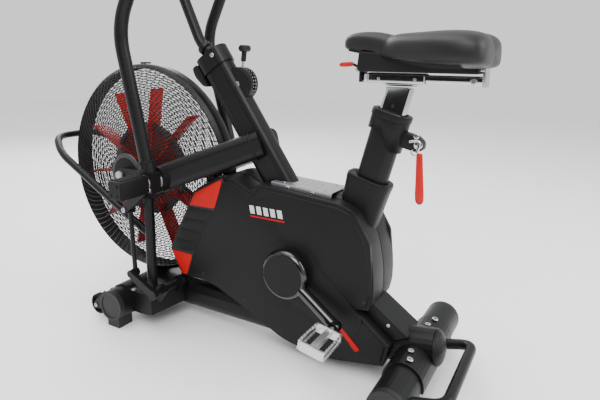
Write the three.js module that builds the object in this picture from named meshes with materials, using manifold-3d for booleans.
// Air bike: a fan bike with swinging arms, as one group of named parts.
// Millimetres, +X towards the fan, +Y to the rider's left, +Z up. Everything is laid out from a point
// on the floor close under the rear stabilizer, and the finished bike is centred on its footprint.

import * as THREE from 'three';
import { mergeVertices } from 'three/addons/utils/BufferGeometryUtils.js';
import Module from 'manifold-3d';

const wasm = await Module();
wasm.setup();

// Driving dimensions
const gap = 0.4;                                   // clearance between touching parts

const stabilizer = { radius: 42, wall: 3, height: 63, rearX: 0, frontX: 797, rearHalf: 218, frontHalf: 196 };
const cap = { thickness: 12, plug: 12, footWidth: 44, footLength: 36, footInset: 4 };
const beam = { tall: 80, wide: 86, wall: 4 };
const pivot = { x: 650, z: 427, bore: 12.6 };      // arm pivots, on the side beams
const crank = { x: 304, z: 230, length: 165, axle: 12 };
const fan = { x: 825, z: 411, bladeTip: 238, bladeRoot: 116, blades: 10, disc: 133 };
const cage = { radius: 303, skin: 2.6, eye: 50 };
const belt = { y0: -44, y1: -34, thickness: 3, crankRadius: 88, fanRadius: 30 };
const mast = { tall: 88, wide: 50, wall: 3, foot: [270, 0, 276], head: [590, 0, 742] };
const seatAxis = new THREE.Vector3(-0.261, 0, 0.9653);
const seatTube = { tall: 74, wide: 46, wall: 3, foot: [229, 0, 106], length: 522 };
const arm = { radius: 16.5, y: 176, restTurn: 2.8 };   // degrees either side of the mid-stroke position
const lever = { reach: 134, drop: 41.7, pin: 5 };      // arm lever, degrees below level on the left side
const rocker = { x: 664, z: 118, reach: 88.6, inner: 70.6, spread: 69, shaft: 9 };
const link = { length: 178.2, radius: 7, y0: 146, y1: 160 };
const eccentric = { dx: 7, dz: 23, radius: 38, y0: 50, y1: 58 };
const shroud = { face: 70, skin: 3 };

// Materials
const finish = (color, roughness, metalness) => new THREE.MeshStandardMaterial({ color, roughness, metalness });
const blackPaint = finish(0x2b2b2c, 0.5, 0.3);
const blackPlastic = finish(0x333334, 0.62, 0);
const glossBlack = finish(0x0c0c0d, 0.15, 0.1);
const rubber = finish(0x161616, 0.85, 0);
const redPaint = finish(0xc8231a, 0.4, 0.1);
const chrome = finish(0xd8d8da, 0.08, 1);
const aluminium = finish(0xb9babc, 0.35, 0.9);
const steel = finish(0x8d8f92, 0.4, 0.8);
const vinyl = finish(0x1d1d1e, 0.6, 0);
const greyPlastic = finish(0x6b6b6c, 0.6, 0);

// Solids: three.js geometry in, manifold in the middle, three.js geometry out
function solid(geometry) {
  const bare = geometry.index ? geometry.toNonIndexed() : geometry.clone();
  bare.deleteAttribute('normal');
  bare.deleteAttribute('uv');
  const merged = mergeVertices(bare, 1e-3);
  const index = merged.index.array;
  const faces = [];
  for (let i = 0; i < index.length; i += 3) {
    const [a, b, c] = [index[i], index[i + 1], index[i + 2]];
    if (a !== b && b !== c && a !== c) faces.push(a, b, c);
  }
  return new wasm.Manifold(new wasm.Mesh({
    numProp: 3,
    vertProperties: Float32Array.from(merged.attributes.position.array),
    triVerts: Uint32Array.from(faces),
  }));
}

const join = (...shapes) => shapes.reduce((sum, shape) => sum.add(shape));
const cut = (shape, ...tools) => tools.reduce((rest, tool) => rest.subtract(tool), shape);

function part(name, shape, material) {
  const { vertProperties, triVerts } = shape.simplify(0.14).getMesh();
  const geometry = new THREE.BufferGeometry();
  geometry.setAttribute('position', new THREE.BufferAttribute(vertProperties, 3));
  geometry.setIndex(new THREE.BufferAttribute(triVerts, 1));
  geometry.computeVertexNormals();
  const mesh = new THREE.Mesh(geometry, material);
  mesh.name = name;
  return mesh;
}

const v3 = (p) => new THREE.Vector3(...p);
const mirrorName = (side) => (side > 0 ? 'left' : 'right');
const rad = THREE.MathUtils.degToRad;

function box(x0, x1, y0, y1, z0, z1) {
  const g = new THREE.BoxGeometry(x1 - x0, y1 - y0, z1 - z0);
  return solid(g.translate((x0 + x1) / 2, (y0 + y1) / 2, (z0 + z1) / 2));
}

// A round bar across the bike, from y0 to y1
function crossBar(x, z, radius, y0, y1, sides = 16) {
  const [low, high] = [Math.min(y0, y1), Math.max(y0, y1)];
  const g = new THREE.CylinderGeometry(radius, radius, high - low, sides);
  return solid(g.translate(x, (low + high) / 2, z));
}

// A round bar between two points
function bar(from, to, radius, sides = 20) {
  const a = v3(from);
  const b = v3(to);
  const g = new THREE.CylinderGeometry(radius, radius, a.distanceTo(b), sides);
  const turn = new THREE.Quaternion().setFromUnitVectors(new THREE.Vector3(0, 1, 0), b.clone().sub(a).normalize());
  const middle = a.clone().add(b).multiplyScalar(0.5);
  return solid(g.applyQuaternion(turn).translate(...middle));
}

// A flat outline given in x and z, extruded across the bike from y0 to y1
function sidePlate(outline, y0, y1, hole) {
  const [low, high] = [Math.min(y0, y1), Math.max(y0, y1)];
  const shape = outline instanceof THREE.Shape ? outline : new THREE.Shape(outline.map((p) => new THREE.Vector2(...p)));
  if (hole) shape.holes.push(hole);
  const g = new THREE.ExtrudeGeometry(shape, { depth: high - low, bevelEnabled: false, curveSegments: 8 });
  return solid(g.rotateX(Math.PI / 2).translate(0, high, 0));
}

// Flat oval section: `tall` along the section's x, `wide` along its y
function ovalShape(tall, wide) {
  const r = Math.min(tall, wide) / 2;
  const [hx, hy] = [tall / 2 - r, wide / 2 - r];
  const shape = new THREE.Shape();
  shape.absarc(hx, hy, r, 0, Math.PI / 2, false);
  shape.absarc(-hx, hy, r, Math.PI / 2, Math.PI, false);
  shape.absarc(-hx, -hy, r, Math.PI, Math.PI * 1.5, false);
  shape.absarc(hx, -hy, r, Math.PI * 1.5, Math.PI * 2, false);
  return shape;
}

// A straight bar of any section between two points, its section x in the upright plane of the bar
function profile(shape, from, to, curveSegments = 3) {
  const a = v3(from);
  const along = v3(to).sub(a);
  const g = new THREE.ExtrudeGeometry(shape, { depth: along.length(), bevelEnabled: false, curveSegments });
  const z = along.clone().normalize();
  const y = new THREE.Vector3(0, 0, 1).cross(z).normalize();
  const x = y.clone().cross(z);
  return solid(g.applyMatrix4(new THREE.Matrix4().makeBasis(x, y, z).setPosition(a)));
}

const oval = (tall, wide, from, to) => profile(ovalShape(tall, wide), from, to);
const stretch = (from, to, extra) => v3(to).add(v3(to).sub(v3(from)).setLength(extra)).toArray();

function ovalTube(tall, wide, wall, from, to) {
  const inner = oval(tall - 2 * wall, wide - 2 * wall, stretch(to, from, 5), stretch(from, to, 5));
  return cut(oval(tall, wide, from, to), inner);
}

// A bent round tube through corner points, with rounded corners
function bentTube(points, radius, bend, sides = 12, steps = 24) {
  const path = new THREE.CurvePath();
  const corners = points.map(v3);
  let start = corners[0];
  for (let i = 1; i < corners.length - 1; i += 1) {
    const before = corners[i].clone().add(start.clone().sub(corners[i]).setLength(bend));
    const after = corners[i].clone().add(corners[i + 1].clone().sub(corners[i]).setLength(bend));
    path.add(new THREE.LineCurve3(start, before));
    path.add(new THREE.QuadraticBezierCurve3(before, corners[i], after));
    start = after;
  }
  path.add(new THREE.LineCurve3(start, corners.at(-1)));
  const ring = new THREE.Shape().absarc(0, 0, radius, 0, Math.PI * 2, false);
  const options = { steps, extrudePath: path, curveSegments: sides / 2, bevelEnabled: false };
  return solid(new THREE.ExtrudeGeometry(ring, options));
}

// A turned part about a cross axis at x, z, from a closed profile of [radius, y] points
function turned(profilePoints, x, z, sides = 32) {
  const closed = [...profilePoints, profilePoints[0]].map((p) => new THREE.Vector2(...p));
  const g = new THREE.LatheGeometry(closed, sides);
  const made = solid(g);
  return (made.volume() > 0 ? made : solid(g.scale(1, 1, -1))).translate([x, 0, z]);
}

// Two-circle joint: the end of a bar of length r0 from p0 that meets a bar of length r1 from p1
function meet(p0, r0, p1, r1, side) {
  const dx = p1[0] - p0[0];
  const dz = p1[1] - p0[1];
  const d = Math.hypot(dx, dz);
  const along = (r0 * r0 - r1 * r1 + d * d) / (2 * d);
  const off = side * Math.sqrt(r0 * r0 - along * along);
  return [p0[0] + (along * dx - off * dz) / d, p0[1] + (along * dz + off * dx) / d];
}

const bike = new THREE.Group();
const add = (name, shape, material, home = bike) => home.add(part(name, shape, material));

// Main frame
const beamLine = [[702, 66], [420, 66], [190, 68], [80, 82], [-40, 97]];
const beamCurve = (line) => new THREE.CatmullRomCurve3(line.map(([x, z]) => new THREE.Vector3(x, 0, z)));
const beamPath = beamCurve(beamLine);
function beamSweep(tall, wide, path = beamPath) {
  const options = { steps: 8, extrudePath: path, curveSegments: 3, bevelEnabled: false };
  return solid(new THREE.ExtrudeGeometry(ovalShape(tall, wide), options));
}
const boreCurve = beamCurve([[712, 66], ...beamLine.slice(1, -1), [-50, 98.3]]);
const beamOuter = beamSweep(beam.tall, beam.wide);
const rearSaddleOuter = stabilizer.radius + 4.5;
const saddleRound = crossBar(stabilizer.rearX, stabilizer.height, rearSaddleOuter + gap, -130, 130, 32);
const axleHole = crossBar(crank.x, crank.z, crank.axle + 0.5, -140, 140);
const shellPlate = sidePlate([[262, 98], [346, 98], [329, 222], [279, 222]], -20, 20);
const shell = join(shellPlate, crossBar(crank.x, crank.z, 27, -24, 24, 24));
const openBeam = cut(beamOuter, beamSweep(beam.tall - 2 * beam.wall, beam.wide - 2 * beam.wall, boreCurve));
add('main_beam', cut(join(openBeam, cut(shell, beamOuter)), saddleRound, axleHole), blackPaint);

const beamEnd = beamPath.getPoint(1);
const domeHalf = new THREE.SphereGeometry(1, 20, 12).scale(18, beam.wide / 2, beam.tall / 2 + 1);
const domeCut = box(0, 60, -80, 80, -80, 80);
const endDome = cut(solid(domeHalf), domeCut).rotate([0, 7, 0]).translate([beamEnd.x - 1, 0, beamEnd.z]);
add('beam_end_cap', cut(endDome, saddleRound), blackPlastic);

const mastSolid = oval(mast.tall, mast.wide, mast.foot, mast.head);
const mastBoreHead = stretch(mast.foot, mast.head, -6);
const mastRoom = oval(mast.tall + 2 * gap, mast.wide + 2 * gap, stretch(mast.head, mast.foot, 1), mast.head);
const mastBore = oval(mast.tall - 6, mast.wide - 6, stretch(mast.head, mast.foot, 5), mastBoreHead);
const mastTop = v3(mast.head);
const mastAlong = v3(mast.head).sub(v3(mast.foot)).normalize();
const mastEnd = oval(mast.tall + 30, mast.wide + 30, mast.foot, stretch(mast.foot, mast.head, gap));
const collarFoot = mastTop.clone().addScaledVector(mastAlong, -46).toArray();
const collar = oval(mast.tall + 8, mast.wide + 8, collarFoot, mast.head);
const topBeamSolid = oval(50, 66, [402, 0, 409], [146, 0, 396]);

const seatFoot = v3(seatTube.foot);
const onSeatAxis = (s) => seatFoot.clone().addScaledVector(seatAxis, s).toArray();
const seatOuter = oval(seatTube.tall, seatTube.wide, onSeatAxis(0), onSeatAxis(seatTube.length));
const seatBore = oval(seatTube.tall - 6, seatTube.wide - 6, onSeatAxis(-5), onSeatAxis(seatTube.length + 5));
const strutOutline = [[16, 125.2], [162, 226.7], [189.4, 187.3], [64, 100.1]];
const strut = sidePlate(strutOutline, -41, 41);
const beamRoom = beamSweep(beam.tall + 2 * gap, beam.wide + 2 * gap);
const shellRoom = sidePlate([[255, 90], [352, 90], [334, 226], [274, 226]], -20.5, 20.5);
const seatFrame = cut(join(seatOuter, strut), seatBore, beamRoom, saddleRound, axleHole, shellRoom);
add('seat_tube', seatFrame, blackPaint);

const seatRoom = oval(seatTube.tall + 2 * gap, seatTube.wide + 2 * gap, onSeatAxis(-5), onSeatAxis(seatTube.length));
const shellRound = crossBar(crank.x, crank.z, 27 + gap, -30, 30, 24);
add('mast', cut(join(mastSolid, collar, topBeamSolid), mastBore, seatRoom, shellRound), blackPaint);

const plateRise = Math.atan2(8, 155);
const plateSection = new THREE.Shape([[-44, -18], [-44, 0], [44, 0], [44, -18], [41, -18], [41, -3], [-41, -3], [-41, -18]]
  .map((p) => new THREE.Vector2(...p)));
const plateBlank = new THREE.ExtrudeGeometry(plateSection, { depth: 164, bevelEnabled: false });
plateBlank.rotateX(Math.PI / 2).rotateZ(Math.PI / 2).translate(0, 0, 0);
const stepPlate = solid(plateBlank).rotate([0, -THREE.MathUtils.radToDeg(plateRise), 0]).translate([212, 0, 429.3]);
add('step_plate', cut(stepPlate, mastRoom, seatRoom), aluminium);

// Front bracket: saddle over the front stabilizer, gussets back to the main beam, bearings for the rockers
const frontRound = crossBar(stabilizer.frontX, stabilizer.height, stabilizer.radius + gap, -240, 240, 32);
const bracketPlan = new THREE.Shape([[800, 152], [690, 152], [668, 45], [668, -45], [690, -152], [800, -152]]
  .map((p) => new THREE.Vector2(...p)));
const bracketBlock = solid(new THREE.ExtrudeGeometry(bracketPlan, { depth: 70, bevelEnabled: false }).translate(0, 0, 36));
const bracketSide = sidePlate([[660, 52], [700, 42], [762, 40], [800, 56], [800, 106], [762, 100], [660, 100]], -160, 160);
const frontSaddle = new THREE.Shape();
frontSaddle.absarc(stabilizer.frontX, stabilizer.height, stabilizer.radius + 4.5, rad(-14), rad(206), false);
frontSaddle.absarc(stabilizer.frontX, stabilizer.height, stabilizer.radius + gap, rad(206), rad(-14), true);
const lugOutline = [[646, 118], [652, 132], [664, 137], [676, 132], [688, 104], [690, 80], [672, 84]];
const lugs = [1, -1].map((s) => join(sidePlate(lugOutline, s * 62, s * 72), sidePlate(lugOutline, s * 130, s * 140)));
const shaftBore = crossBar(rocker.x, rocker.z, rocker.shaft + 0.5, -200, 200);
const frontRoom = beamSweep(beam.tall + 2 * gap, beam.wide + 2 * gap);
const bracket = join(bracketBlock.intersect(bracketSide), sidePlate(frontSaddle, -152, 152), ...lugs);
add('front_bracket', cut(bracket, frontRound, shaftBore, frontRoom), blackPaint);

const saddleOutline = new THREE.Shape();
saddleOutline.absarc(stabilizer.rearX, stabilizer.height, rearSaddleOuter, rad(-14), rad(194), false);
saddleOutline.absarc(stabilizer.rearX, stabilizer.height, stabilizer.radius + gap, rad(194), rad(-14), true);
add('rear_saddle', sidePlate(saddleOutline, -118, 118), blackPaint);

// Stabilizers, with lugs for the transport wheels at the front
function stabilizerTube(x, half) {
  const y = half - cap.thickness;
  const outer = crossBar(x, stabilizer.height, stabilizer.radius, -y, y, 32);
  return cut(outer, crossBar(x, stabilizer.height, stabilizer.radius - stabilizer.wall, -y - 1, y + 1, 24));
}
const wheel = { x: 873, z: 42 };
const wheelLug = [[826, 91], [838, 92], [882, 48], [882, 34], [864, 33], [832, 50]];
function wheelMount(s) {
  const plates = join(sidePlate(wheelLug, s * 152.6, s * 157), sidePlate(wheelLug, s * 179, s * 183));
  return join(plates, crossBar(wheel.x, wheel.z, 4, s * 153, s * 183, 16));
}
const frontInner = crossBar(stabilizer.frontX, stabilizer.height, stabilizer.radius - 1, -230, 230, 32);
const mounts = [1, -1].map((s) => cut(wheelMount(s), frontInner));
add('front_stabilizer', join(stabilizerTube(stabilizer.frontX, stabilizer.frontHalf), ...mounts), blackPaint);
add('rear_stabilizer', stabilizerTube(stabilizer.rearX, stabilizer.rearHalf), blackPaint);

for (const s of [1, -1]) {
  const wheelBlank = turned([[4.6, -9.5], [9, -9.5], [9, -6], [22, -6], [22, -9.5], [29, -8], [29, 8], [22, 9.5], [22, 6],
    [9, 6], [9, 9.5], [4.6, 9.5]], wheel.x, wheel.z, 20);
  add(`${mirrorName(s)}_transport_wheel`, wheelBlank.translate([0, s * 168, 0]), rubber);
}

for (const [place, x, half] of [['front', stabilizer.frontX, stabilizer.frontHalf], ['rear', stabilizer.rearX, stabilizer.rearHalf]]) {
  for (const s of [1, -1]) {
    const tubeEnd = half - cap.thickness;
    const disc = crossBar(x, stabilizer.height, stabilizer.radius, s * (tubeEnd + gap), s * half, 32);
    const plug = crossBar(x, stabilizer.height, stabilizer.radius - stabilizer.wall - gap, s * (tubeEnd - cap.plug),
      s * (tubeEnd + 1), 20);
    const near = Math.min(s * (tubeEnd - cap.footInset - cap.footLength), s * (tubeEnd + 6));
    const far = Math.max(s * (tubeEnd - cap.footInset - cap.footLength), s * (tubeEnd + 6));
    const foot = box(x - cap.footWidth / 2, x + cap.footWidth / 2, near, far, 0, 34);
    const clear = crossBar(x, stabilizer.height, stabilizer.radius + gap, -(tubeEnd + gap), tubeEnd + gap, 32);
    add(`${place}_${mirrorName(s)}_end_cap`, join(cut(foot, clear), disc, plug), greyPlastic);
  }
}

// Rear lifting handle
const handle = { radius: 12, rear: -105, z: 85, right: -75, left: 175 };
const handlePath = [[-20, handle.right, 63], [handle.rear, handle.right, handle.z], [handle.rear, handle.left, handle.z],
  [-20, handle.left, 63]];
const rearRound = crossBar(stabilizer.rearX, stabilizer.height, rearSaddleOuter + gap, -240, 240, 32);
add('rear_handle', cut(bentTube(handlePath, handle.radius, 30, 12, 26), rearRound), blackPaint);

// Side beams with pivot boss, post and fan axle plate, one on each side of the cage
const post = { x: 706, y: 128, radius: 13.5, foot: 100.4 };
function sideFrame(s) {
  const strutBar = oval(68, 40, [418, s * 26, 525], [652, s * 135, 427]);
  const boss = crossBar(pivot.x, pivot.z, 35, s * 113, s * 157, 32);
  const upright = bar([post.x, s * post.y, post.foot], [post.x, s * post.y, 400], post.radius);
  const head = sidePlate([[640, 400], [668, 446], [722, 418], [722, 372], [690, 368]], s * 116, s * 140);
  const axlePlate = sidePlate([[664, 400], [664, 433], [700, 433], [822, 431], [840, 422], [845, 411], [840, 400],
    [828, 391], [716, 373]], s * 103, s * 113);
  const spacer = sidePlate([[664, 378], [664, 433], [718, 425], [718, 375]], s * 112, s * 118);
  const bores = [crossBar(pivot.x, pivot.z, pivot.bore, s * 90, s * 180), crossBar(fan.x, fan.z, 9.2, s * 90, s * 130, 16)];
  return cut(join(strutBar, boss, upright, head, axlePlate, spacer), mastRoom, ...bores);
}
add('left_side_frame', sideFrame(1), blackPaint);
add('right_side_frame', sideFrame(-1), blackPaint);

// Bumper tube round the front of the cage, bolted to the posts
const bumper = { radius: 10.5, frontX: 1146, frontZ: 488 };
const bumperSide = [[704, 128, 268], [780, 128, 302], [1066, 120, 449]];
const bumperPath = [...bumperSide, [bumper.frontX, 74, bumper.frontZ],
  [bumper.frontX, -74, bumper.frontZ], ...bumperSide.map(([x, y, z]) => [x, -y, z]).reverse()];
const postRooms = [1, -1].map((s) => bar([post.x, s * post.y, 100], [post.x, s * post.y, 430], post.radius + gap));
add('front_bumper', cut(bentTube(bumperPath, bumper.radius, 42, 12, 32), ...postRooms), blackPaint);

// Fan cage: two dished shells that meet at the rim, with hub covers
const dish = [[cage.radius, 0.3], [cage.radius, 14], [290, 28], [236, 46], [190, 56], [120, 71], [cage.eye, 84]];
function cageHalf(s) {
  const outer = dish;
  const inner = [...dish].reverse().map(([r, y]) => [r === cage.eye ? r : r - cage.skin, Math.max(0.3, y - cage.skin)]);
  const shellPoints = [...outer, ...inner].map(([r, y]) => [r, s * y]);
  return turned(shellPoints, fan.x, fan.z, 36);
}
const beltWindow = box(520, 640, -64, -20, 235, 412);
add('left_cage', cageHalf(1), blackPaint);
add('right_cage', cut(cageHalf(-1), beltWindow), blackPaint);
for (const s of [1, -1]) {
  const cover = turned([[9.2, s * 85], [55, s * 85], [56, s * 92], [50, s * 97], [9.2, s * 97]], fan.x, fan.z, 28);
  add(`${mirrorName(s)}_hub_cover`, cover, blackPlastic);
}

// Fan, its axle and pulley
const hub = turned([[8.6, -28], [30, -28], [34, -8], [34, 20], [26, 34], [8.6, 34]], fan.x, fan.z, 20);
const disc = turned([[20, 2], [fan.disc, 2], [fan.disc, 7], [20, 7]], fan.x, fan.z, 40);
const blade = box(fan.bladeRoot, fan.bladeTip, -20, 28, -1.5, 1.5);
const blades = Array.from({ length: fan.blades }, (_, i) => blade.rotate([0, (i * 360) / fan.blades + 8, 0])
  .translate([fan.x, 0, fan.z]));
add('fan', join(hub, disc, ...blades), redPaint);
const pulleyGroove = [[5, belt.y0 - 3], [34, belt.y0 - 3], [34, belt.y0 - gap], [belt.fanRadius, belt.y0 - gap],
  [belt.fanRadius, belt.y1 + gap], [34, belt.y1 + gap], [34, belt.y1 + 3], [5, belt.y1 + 3]];
const axle = crossBar(fan.x, fan.z, 8.2, -122, 122, 20);
const nuts = [1, -1].map((s) => crossBar(fan.x, fan.z, 13, s * 113.6, s * 121, 6));
add('fan_axle', join(axle, turned(pulleyGroove, fan.x, fan.z, 20), ...nuts), steel);

// Belt and crank pulley
function beltLoop(extra) {
  const [r0, r1] = [belt.crankRadius + extra, belt.fanRadius + extra];
  const [dx, dz] = [fan.x - crank.x, fan.z - crank.z];
  const heading = Math.atan2(dz, dx);
  const spread = Math.acos((r0 - r1) / Math.hypot(dx, dz));
  const shape = new THREE.Shape();
  shape.absarc(crank.x, crank.z, r0, heading + spread, heading - spread, false);
  shape.absarc(fan.x, fan.z, r1, heading - spread, heading + spread, false);
  shape.closePath();
  return shape;
}
const beltOutline = (extra) => beltLoop(extra).getPoints(12).map((p) => [p.x, p.y]);
const beltSolid = cut(sidePlate(beltOutline(gap + belt.thickness), belt.y0, belt.y1),
  sidePlate(beltOutline(gap), belt.y0 - 1, belt.y1 + 1));
add('drive_belt', beltSolid, rubber);
const wheelWeb = turned([[crank.axle + gap, belt.y0 - 4], [30, belt.y0 - 4], [30, -42], [belt.crankRadius - 8, -42],
  [belt.crankRadius - 8, belt.y0], [belt.crankRadius, belt.y0], [belt.crankRadius, belt.y1], [belt.crankRadius - 8, belt.y1],
  [belt.crankRadius - 8, -37], [30, -37], [30, -27], [crank.axle + gap, -27]], crank.x, crank.z, 26);
const lightening = Array.from({ length: 5 }, (_, i) => crossBar(crank.x + 54 * Math.cos(rad(72 * i + 20)),
  crank.z + 54 * Math.sin(rad(72 * i + 20)), 15, -60, -20, 12));
add('crank_pulley', cut(wheelWeb, ...lightening), aluminium);

// Crank axle with the two arm-drive throws, crank arms and pedals
const throwPin = (s) => [crank.x + s * eccentric.dx, crank.z + s * eccentric.dz];
const throws = [1, -1].map((s) => crossBar(...throwPin(s), eccentric.radius, s * eccentric.y0, s * eccentric.y1, 26));
add('crank_axle', join(crossBar(crank.x, crank.z, crank.axle, -98, 98, 24), ...throws), steel);

const crankDip = 32;                               // left crank at rest, degrees below level, pointing back
const crankTip = (s) => [crank.x - s * crank.length * Math.cos(rad(crankDip)), crank.z - s * crank.length * Math.sin(rad(crankDip))];
for (const s of [1, -1]) {
  const [tx, tz] = crankTip(s);
  const puck = turned([[crank.axle + gap, s * 82], [46, s * 82], [50, s * 86], [50, s * 103], [45, s * 110],
    [crank.axle + gap, s * 110]], crank.x, crank.z, 22);
  const shaft = oval(26, 20, [crank.x, s * 98, crank.z], [tx, s * 112, tz]);
  const boss = crossBar(tx, tz, 14, s * 101, s * 123, 24);
  const bores = [crossBar(crank.x, crank.z, crank.axle + gap, s * 60, s * 98.4), crossBar(tx, tz, 7.4, s * 90, s * 130, 16)];
  add(`${mirrorName(s)}_crank`, cut(join(puck, shaft, boss), ...bores), glossBlack);

  const pedal = { y0: 136, y1: 234, half: 40, tall: 11 };
  const [yLow, yHigh] = [Math.min(s * pedal.y0, s * pedal.y1), Math.max(s * pedal.y0, s * pedal.y1)];
  const frame = box(tx - pedal.half, tx + pedal.half, yLow, yHigh, tz - pedal.tall, tz + pedal.tall);
  const windows = [[-36, -16], [16, 36]].flatMap(([a, b]) => [[143, 182], [189, 227]].map(([c, d]) => box(tx + a, tx + b,
    Math.min(s * c, s * d), Math.max(s * c, s * d), tz - 30, tz + 30)));
  const spindle = crossBar(tx, tz, 7, s * 101.4, s * 140, 16);
  add(`${mirrorName(s)}_pedal`, join(cut(frame, ...windows), spindle), aluminium);
}

// Swinging arms with their hubs and levers, the links down to the rockers, and the drag links to the crank
for (const s of [1, -1]) {
  const side = mirrorName(s);
  const turn = -s * arm.restTurn;                  // forward positive
  const spin = (x, z, angle) => {
    const a = rad(angle);
    return [pivot.x + x * Math.cos(a) + z * Math.sin(a), pivot.z - x * Math.sin(a) + z * Math.cos(a)];
  };
  const at = (x, z) => spin(x, z, turn + arm.restTurn);     // offsets are measured on the left arm at rest
  const point = ([x, y, z]) => {
    const [px, pz] = at(x, z);
    return [px, s * y, pz];
  };
  const tubePath = [[4, 174, 20], [72, 186, 372], [-24, 192, 540], [-24, 192, 810]].map(point);
  add(`${side}_arm`, bentTube(tubePath, arm.radius, 60, 12, 24), blackPaint);
  const gripLine = [[-24, 192, 620], [-24, 192, 816]].map(point);
  const gripBore = bar(point([-24, 192, 600]), point([-24, 192, 810.6]), arm.radius + gap, 24);
  const sleeve = cut(bar(gripLine[0], gripLine[1], 20, 24), gripBore);
  add(`${side}_grip`, sleeve, rubber);

  const [pinX, pinZ] = spin(lever.reach * Math.cos(rad(lever.drop)), -lever.reach * Math.sin(rad(lever.drop)), turn + arm.restTurn);
  const across = v3([pinX - pivot.x, 0, pinZ - pivot.z]).normalize();
  const off = [-across.z, across.x];
  const edge = (x, z, w) => [[x + off[0] * w, z + off[1] * w], [x - off[0] * w, z - off[1] * w]];
  const [a0, a1] = edge(pivot.x, pivot.z, 16);
  const [b0, b1] = edge(pinX, pinZ, 10);
  const leverPlate = join(sidePlate([a0, b0, b1, a1], s * 162, s * 174), crossBar(pinX, pinZ, 11, s * 162, s * 174, 20));
  const block = box(-24, 24, 160.5, 193, -24, 26).rotate([0, turn + arm.restTurn, 0]).translate([pivot.x, 0, pivot.z]);
  const clampBlock = s > 0 ? block : block.mirror([0, 1, 0]);
  const socket = bar(point([3, 174, 10]), point([9.5, 175, 48]), 21.5, 24);
  const armRoom = bentTube(tubePath, arm.radius + 0.9, 60, 12, 24);
  const pin = crossBar(pinX, pinZ, lever.pin, s * 146.5, s * 163, 16);
  const hubBore = crossBar(pivot.x, pivot.z, pivot.bore, s * 150, s * 200);
  const slab = box(500, 900, Math.min(s * 158.2, s * 193), Math.max(s * 158.2, s * 193), 300, 600);
  const body = join(clampBlock, leverPlate, socket).intersect(slab);
  add(`${side}_arm_hub`, cut(join(body, pin), armRoom, hubBore), blackPaint);

  const [lowX, lowZ] = meet([rocker.x, rocker.z], rocker.reach, [pinX, pinZ], link.length, -1);
  const eye = (x, z) => crossBar(x, z, 11, s * link.y0, s * link.y1, 20);
  const rod = bar([pinX, s * 153, pinZ], [lowX, s * 153, lowZ], 6.2, 14);
  const pinBores = [crossBar(pinX, pinZ, lever.pin + 0.5, s * 140, s * 170, 16), crossBar(lowX, lowZ, lever.pin + 0.5, s * 140, s * 170, 16)];
  add(`${side}_link`, cut(join(rod, eye(pinX, pinZ), eye(lowX, lowZ)), ...pinBores), blackPaint);

  const lowAngle = Math.atan2(lowZ - rocker.z, lowX - rocker.x);
  const innerAngle = lowAngle + rad(rocker.spread);
  const [upX, upZ] = [rocker.x + rocker.inner * Math.cos(innerAngle), rocker.z + rocker.inner * Math.sin(innerAngle)];
  const leverBar = (x, z, y0, y1) => {
    const d = v3([x - rocker.x, 0, z - rocker.z]).normalize().multiplyScalar(9);
    const outline = [[rocker.x - d.z * 1.3, rocker.z + d.x * 1.3], [x - d.z, z + d.x], [x + d.z, z - d.x],
      [rocker.x + d.z * 1.3, rocker.z - d.x * 1.3]];
    return join(sidePlate(outline, y0, y1), crossBar(x, z, 10, y0, y1, 18), crossBar(rocker.x, rocker.z, 14, y0, y1, 20));
  };
  const rockerSolid = join(leverBar(lowX, lowZ, s * 162, s * 174), leverBar(upX, upZ, s * 44, s * 49.6),
    crossBar(rocker.x, rocker.z, rocker.shaft, s * 44, s * 173, 16));
  add(`${side}_rocker`, rockerSolid, steel);

  const [crankX, crankZ] = throwPin(s);
  const toCrank = v3([crankX - upX, 0, crankZ - upZ]).normalize();
  const stop = [crankX + toCrank.x * -41, crankZ + toCrank.z * -41];
  const dragBar = join(bar([upX, s * 53.6, upZ], [stop[0], s * 53.6, stop[1]], 3.2, 10),
    crossBar(upX, upZ, 10, s * 50.2, s * 57, 16), crossBar(crankX, crankZ, 44, s * 50.6, s * 57, 26));
  const dragBores = [crossBar(upX, upZ, lever.pin + 0.5, s * 40, s * 70, 12),
    crossBar(crankX, crankZ, eccentric.radius + 0.6, s * 40, s * 70, 26)];
  add(`${side}_drag_link`, cut(dragBar, ...dragBores), steel);

  const peg = box(pivot.x - 19, pivot.x + 19, Math.min(s * 198, s * 286), Math.max(s * 198, s * 286), pivot.z - 20, pivot.z + 20);
  const pegShaft = crossBar(pivot.x, pivot.z, 12, s * 114, s * 200, 20);
  const flange = crossBar(pivot.x, pivot.z, 17, s * 193.6, s * 199, 24);
  add(`${side}_foot_peg`, join(peg, pegShaft, flange), rubber);
}

// Seat post with slider sleeve, clamp, levers, rail and saddle
const railZ = 693;
const sleeveBox = cut(box(19, 148, -17, 17, railZ - 15, railZ + 15), box(0, 170, -13.4, 13.4, railZ - 10.4, railZ + 10.4));
const postFoot = onSeatAxis(250);
const postHead = onSeatAxis(620);
const rounded = (x, y, c) => new THREE.Shape([[c - x, -y], [x - c, -y], [x, c - y], [x, y - c], [x - c, y], [c - x, y], [-x, y - c],
  [-x, c - y]].map((p) => new THREE.Vector2(...p)));
const postSection = rounded(29, 14, 5);
const postSolid = profile(postSection, postFoot, postHead);
const postTop = box(-60, 260, -40, 40, railZ - 14, railZ + 90);
add('seat_post', join(cut(postSolid, postTop), sleeveBox), chrome);

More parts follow.
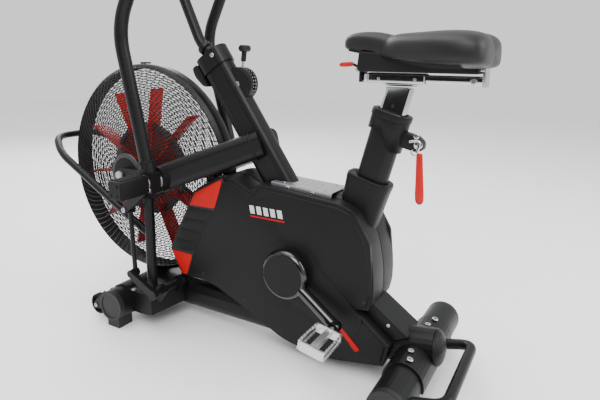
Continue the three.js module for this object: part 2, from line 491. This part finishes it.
const clampLow = onSeatAxis(seatTube.length - 76);
const clampTop = onSeatAxis(seatTube.length + 12);
const clampOuter = oval(88, 60, clampLow, clampTop);
const clampBoreLow = oval(seatTube.tall + 2 * gap, seatTube.wide + 2 * gap, onSeatAxis(300), onSeatAxis(seatTube.length + gap));
const postRoom = profile(rounded(29.6, 14.6, 5), onSeatAxis(300), onSeatAxis(600));
const ear = sidePlate([[62, 582], [26, 572], [14, 560], [14, 542], [30, 538], [72, 548]], -14, 14);
const camPin = { x: 26, z: 555 };
const camBore = crossBar(camPin.x, camPin.z, 4.6, -30, 30, 14);
add('seat_clamp', cut(join(clampOuter, ear), clampBoreLow, postRoom, camBore), blackPlastic);
const camHandle = sidePlate([[camPin.x - 9, camPin.z + 6], [camPin.x + 7, camPin.z + 7], [camPin.x + 8, camPin.z - 22],
  [camPin.x + 9, 475], [camPin.x + 13, 442], [camPin.x + 6, 428], [camPin.x - 8, 428],
  [camPin.x - 13, 442], [camPin.x - 8, 475], [camPin.x - 8, camPin.z - 22]], 16, 25);
add('seat_cam_lever', join(camHandle, crossBar(camPin.x, camPin.z, 4.2, -20, 18, 14), crossBar(camPin.x, camPin.z, 8, -22, -15, 14)),
  redPaint);

const boot = cut(oval(94, 68, onSeatAxis(318), onSeatAxis(378)), oval(seatTube.tall + 2 * gap, seatTube.wide + 2 * gap,
  onSeatAxis(280), onSeatAxis(420)));
const topBeamRoom = oval(51, 67, [440, 0, 410.9], [110, 0, 394.1]);
add('seat_tube_boot', cut(boot, topBeamRoom), blackPlastic);

const rail = box(-97, 160, -12.8, 12.8, railZ - 9.8, railZ + 9.8);
const brackets = join(box(-101, -96, -22, 22, railZ - 12, 716), box(160, 165, -18, 18, railZ - 9, 716));
const carrier = box(-101, 165, -22, 22, 711, 716);
add('saddle_rail', join(rail, brackets, carrier), chrome);

const plan = new THREE.Shape();
plan.moveTo(205, 0);
plan.bezierCurveTo(205, 30, 180, 36, 140, 40);
plan.bezierCurveTo(90, 46, 60, 78, 10, 104);
plan.bezierCurveTo(-30, 124, -96, 126, -112, 84);
plan.bezierCurveTo(-118, 60, -104, 30, -100, 0);
plan.bezierCurveTo(-104, -30, -118, -60, -112, -84);
plan.bezierCurveTo(-96, -126, -30, -124, 10, -104);
plan.bezierCurveTo(60, -78, 90, -46, 140, -40);
plan.bezierCurveTo(180, -36, 205, -30, 205, 0);
const saddleOptions = { depth: 55, bevelEnabled: true, bevelThickness: 11, bevelSize: 10, bevelOffset: -10, bevelSegments: 2,
  curveSegments: 7 };
const noseRise = sidePlate([[40, 700], [230, 700], [230, 752], [120, 742]], -140, 140);
const saddleBody = solid(new THREE.ExtrudeGeometry(plan, saddleOptions)).translate([0, 0, 716.4 + 11]);
add('saddle', cut(saddleBody, noseRise), vinyl);
const saddleLever = join(crossBar(172, railZ + 18, 6, -12, 12), bar([172, 2, railZ + 18], [212, 12, railZ + 38], 4.5, 12));
add('saddle_lever', saddleLever, redPaint);

// Console on its stem, and the resistance shifter
const stemPath = [[592, 0, 746], [624, 0, 768], [654, 0, 832], [706, 0, 944]];
add('console_stem', cut(bentTube(stemPath, 14, 18, 14, 18), mastEnd), blackPaint);
const consoleBox = new THREE.BoxGeometry(34, 190, 132).rotateY(rad(-30)).translate(716, 0, 982);
const stemEndRoom = bar([654, 0, 832], [706.3, 0, 944.6], 14.5, 20);
add('console', cut(solid(consoleBox), stemEndRoom), blackPlastic);

const shifter = { x: 496, z: 668, radius: 42 };
const housing = sidePlate(new THREE.Shape().absarc(shifter.x, shifter.z, shifter.radius, rad(56), rad(236), false), -15, 15);
const leverSlot = new THREE.Shape();
leverSlot.absarc(shifter.x, shifter.z, 60, rad(62), rad(200), false);
leverSlot.absarc(shifter.x, shifter.z, 22, rad(200), rad(62), true);
add('shifter_housing', cut(housing, sidePlate(leverSlot, -4.5, 4.5), mastRoom), blackPlastic);
const leverTip = [shifter.x - 12, 0, shifter.z + 88];
const shiftLever = cut(join(bar([shifter.x - 3.4, 0, shifter.z + 25], leverTip, 3.6, 12),
  bar([leverTip[0], -17, leverTip[2]], [leverTip[0], 17, leverTip[2]], 8, 16)), mastRoom);
add('shift_lever', shiftLever, blackPlastic);

// Shroud halves: a dished cover on each side, open where the frame, the cage and the links pass
const outlineCorners = [[49, 103], [61, 50], [202, 25], [325, 38], [430, 88], [535, 131], [583, 141], [659, 136],
  [697, 212], [625, 349], [604, 391], [502, 446], [414, 406], [405, 433], [290, 424], [179, 415], [142, 402], [108, 340],
  [92, 260], [92, 209], [101, 175], [140, 172]];
function shrink(corners, by) {
  return corners.map((p, i) => {
    const before = corners[(i + corners.length - 1) % corners.length];
    const after = corners[(i + 1) % corners.length];
    const d0 = new THREE.Vector2(p[0] - before[0], p[1] - before[1]).normalize();
    const d1 = new THREE.Vector2(after[0] - p[0], after[1] - p[1]).normalize();
    const n0 = new THREE.Vector2(-d0.y, d0.x);
    const n1 = new THREE.Vector2(-d1.y, d1.x);
    const n = n0.clone().add(n1).normalize();
    const reach = by / Math.max(0.35, n.dot(n1));
    return [p[0] + n.x * reach, p[1] + n.y * reach];
  });
}
const frameRoom = [beamSweep(beam.tall + 3, beam.wide + 3), oval(mast.tall + 3, mast.wide + 3, mast.foot, mast.head),
  oval(seatTube.tall + 3, seatTube.wide + 3, onSeatAxis(-5), onSeatAxis(600)), sidePlate(shrink(strutOutline, 2), -43, 43),
  oval(53, 69, [440, 0, 410.9], [110, 0, 394]), box(205, 382, -46, 46, 406, 480), crossBar(fan.x, fan.z, cage.radius + 2, -62, 62, 40),
  box(560, 720, -64, 64, 100, 236), oval(97, 71, onSeatAxis(314), onSeatAxis(382)),
  sidePlate(beltOutline(8), belt.y0 - 3, belt.y1 + 3)];
for (const s of [1, -1]) {
  const outer = sidePlate(outlineCorners, s * gap, s * shroud.face);
  const inner = sidePlate(shrink(outlineCorners, shroud.skin), s * -1, s * (shroud.face - shroud.skin));
  const axleWay = crossBar(crank.x, crank.z, 20, s * 40, s * 100, 28);
  const sideBeamWay = oval(71, 43, [418, s * 26, 525], [652, s * 135, 427]);
  const half = cut(outer, inner, axleWay, sideBeamWay, saddleRound, ...frameRoom);
  const pieces = half.decompose().sort((a, b) => b.volume() - a.volume());
  add(`shroud_${mirrorName(s)}`, pieces[0], blackPlastic);
}

// Centre the bike on its footprint, standing on the floor
const size = new THREE.Box3().setFromObject(bike);
const centre = size.getCenter(new THREE.Vector3());
bike.position.set(-centre.x, -centre.y, -size.min.z);
bike.updateMatrixWorld(true);

export default bike;
